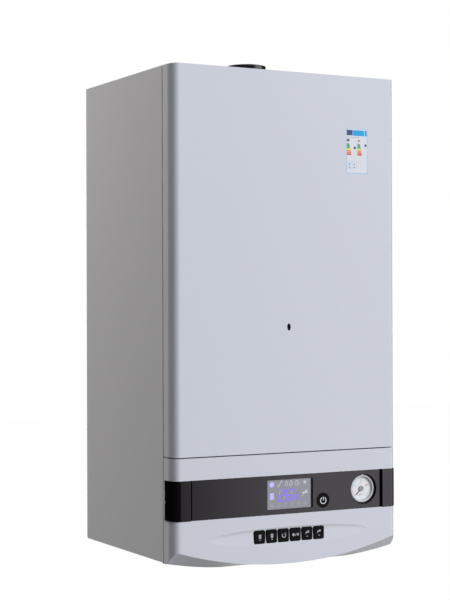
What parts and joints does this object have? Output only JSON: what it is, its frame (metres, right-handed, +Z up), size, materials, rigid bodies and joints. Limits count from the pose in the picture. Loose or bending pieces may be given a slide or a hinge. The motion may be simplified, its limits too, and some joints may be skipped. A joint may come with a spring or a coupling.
{
  "type": "wall-mounted gas boiler",
  "caption": "Wall-hung gas boiler with a pull-off front cover, a swing-down control panel with push keys and a pressure gauge, and its burner, fan, pump and pipework inside.",
  "frame": {"origin": "rear face of the back panel, on the centre line, midway between the two hanging slots, 0.680 m above the lower edge of the side panels", "axes": "+X to the viewer's right, +Y into the wall, +Z up"},
  "size_m": [0.3984, 0.3212, 0.7848],
  "materials": {
    "cover_paint": "smooth cool white paint",
    "case_paint": "smooth light grey-white paint",
    "panel_plastic": "painted plastic",
    "black_gloss": "gloss black",
    "black_plastic": "satin black",
    "flue_enamel": "black enamel",
    "smoked_glass": "smoked display glass",
    "clear_glass": "clear",
    "dial_white": "printed dial",
    "steel": "stainless steel",
    "galvanised": "galvanised sheet",
    "cast_aluminium": "die cast",
    "copper": "copper",
    "brass": "brass",
    "red_steel": "red enamel",
    "grey_plastic": "dark grey",
    "green_board": "circuit board",
    "ceramic": "glazed ceramic",
    "blue_plastic": "blue",
    "red_plastic": "red"
  },
  "bodies": {
    "casing": {"back_panel": "galvanised", "left_side_panel": "case_paint", "right_side_panel": "case_paint", "top_panel": "case_paint", "bottom_panel": "case_paint", "flue_flange": "flue_enamel", "flue_spigot": "flue_enamel", "air_intake_cover": "case_paint", "hinge_bracket_left": "galvanised", "hinge_bracket_right": "galvanised", "flow_connection": "brass", "hot_water_connection": "brass", "gas_connection": "brass", "cold_water_connection": "brass", "return_connection": "brass", "diverter_block": "black_plastic", "return_block": "black_plastic", "plate_heat_exchanger": "steel", "diverter_motor": "black_plastic", "pump_body": "brass", "pump_motor": "cast_aluminium", "flow_pipe": "copper", "return_pipe": "copper", "gas_valve": "cast_aluminium", "gas_pipe": "copper", "burner_manifold": "galvanised", "burner": "steel", "combustion_chamber": "galvanised", "ignition_electrode": "ceramic", "main_heat_exchanger": "copper", "fume_hood": "galvanised", "fan_housing": "galvanised", "fan_motor": "cast_aluminium", "expansion_vessel": "red_steel", "air_pressure_switch": "grey_plastic"},
    "cover": {"front_cover": "cover_paint", "sight_glass": "smoked_glass"},
    "control_panel": {"control_fascia": "panel_plastic", "band_centre": "black_gloss", "band_end_left": "black_gloss", "band_end_right": "black_gloss", "display_glass": "smoked_glass", "gauge_case": "black_plastic", "gauge_bezel": "grey_plastic", "gauge_lens": "clear_glass", "gauge_dial": "dial_white", "control_box": "grey_plastic", "control_board": "green_board"},
    "power_button": {"power_button": "black_plastic"},
    "gauge_needle": {"gauge_needle": "black_plastic"},
    "fan_rotor": {"fan_impeller": "galvanised"},
    "pump_rotor": {"pump_impeller": "grey_plastic"},
    "relief_knob": {"relief_knob": "red_plastic"},
    "filling_knob": {"filling_knob": "blue_plastic"},
    "key_1": {"key_1": "black_plastic"},
    "key_2": {"key_2": "black_plastic"},
    "key_3": {"key_3": "black_plastic"},
    "key_4": {"key_4": "black_plastic"},
    "key_5": {"key_5": "black_plastic"},
    "key_6": {"key_6": "black_plastic"}
  },
  "joints": [
    {"name": "cover_pull", "type": "slide", "parent": "casing", "child": "cover", "axis": [0, -1, 0], "range_m": [0, 0.2]},
    {"name": "panel_hinge", "type": "hinge", "parent": "casing", "child": "control_panel", "pos_m": [0, -0.262, -0.68], "axis": [1, 0, 0], "range_deg": [0, 75]},
    {"name": "power_button_press", "type": "slide", "parent": "control_panel", "child": "power_button", "axis": [0, 1, 0], "range_m": [0, 0.0012], "stiffness_N_per_m": 400},
    {"name": "gauge_needle_turn", "type": "hinge", "parent": "control_panel", "child": "gauge_needle", "pos_m": [0.1369, -0.3103, -0.5864], "axis": [0, 1, 0], "range_deg": [0, 270], "stiffness_Nm_per_rad": 0.0005},
    {"name": "fan_spin", "type": "hinge", "parent": "casing", "child": "fan_rotor", "pos_m": [0, -0.187, -0.0488], "axis": [0, 1, 0], "continuous": true},
    {"name": "pump_spin", "type": "hinge", "parent": "casing", "child": "pump_rotor", "pos_m": [0.112, -0.109, -0.5267], "axis": [0, 1, 0], "continuous": true},
    {"name": "relief_turn", "type": "hinge", "parent": "casing", "child": "relief_knob", "pos_m": [0.085, -0.18, -0.605], "axis": [0, 1, 0], "range_deg": [0, 90]},
    {"name": "filling_turn", "type": "hinge", "parent": "casing", "child": "filling_knob", "pos_m": [0.0975, -0.075, -0.67], "axis": [0, 0, 1], "range_deg": [0, 360]},
    {"name": "key_1_press", "type": "slide", "parent": "control_panel", "child": "key_1", "axis": [0, 1, 0], "range_m": [0, 0.0012], "stiffness_N_per_m": 400},
    {"name": "key_2_press", "type": "slide", "parent": "control_panel", "child": "key_2", "axis": [0, 1, 0], "range_m": [0, 0.0012], "stiffness_N_per_m": 400},
    {"name": "key_3_press", "type": "slide", "parent": "control_panel", "child": "key_3", "axis": [0, 1, 0], "range_m": [0, 0.0012], "stiffness_N_per_m": 400},
    {"name": "key_4_press", "type": "slide", "parent": "control_panel", "child": "key_4", "axis": [0, 1, 0], "range_m": [0, 0.0012], "stiffness_N_per_m": 400},
    {"name": "key_5_press", "type": "slide", "parent": "control_panel", "child": "key_5", "axis": [0, 1, 0], "range_m": [0, 0.0012], "stiffness_N_per_m": 400},
    {"name": "key_6_press", "type": "slide", "parent": "control_panel", "child": "key_6", "axis": [0, 1, 0], "range_m": [0, 0.0012], "stiffness_N_per_m": 400}
  ]
}
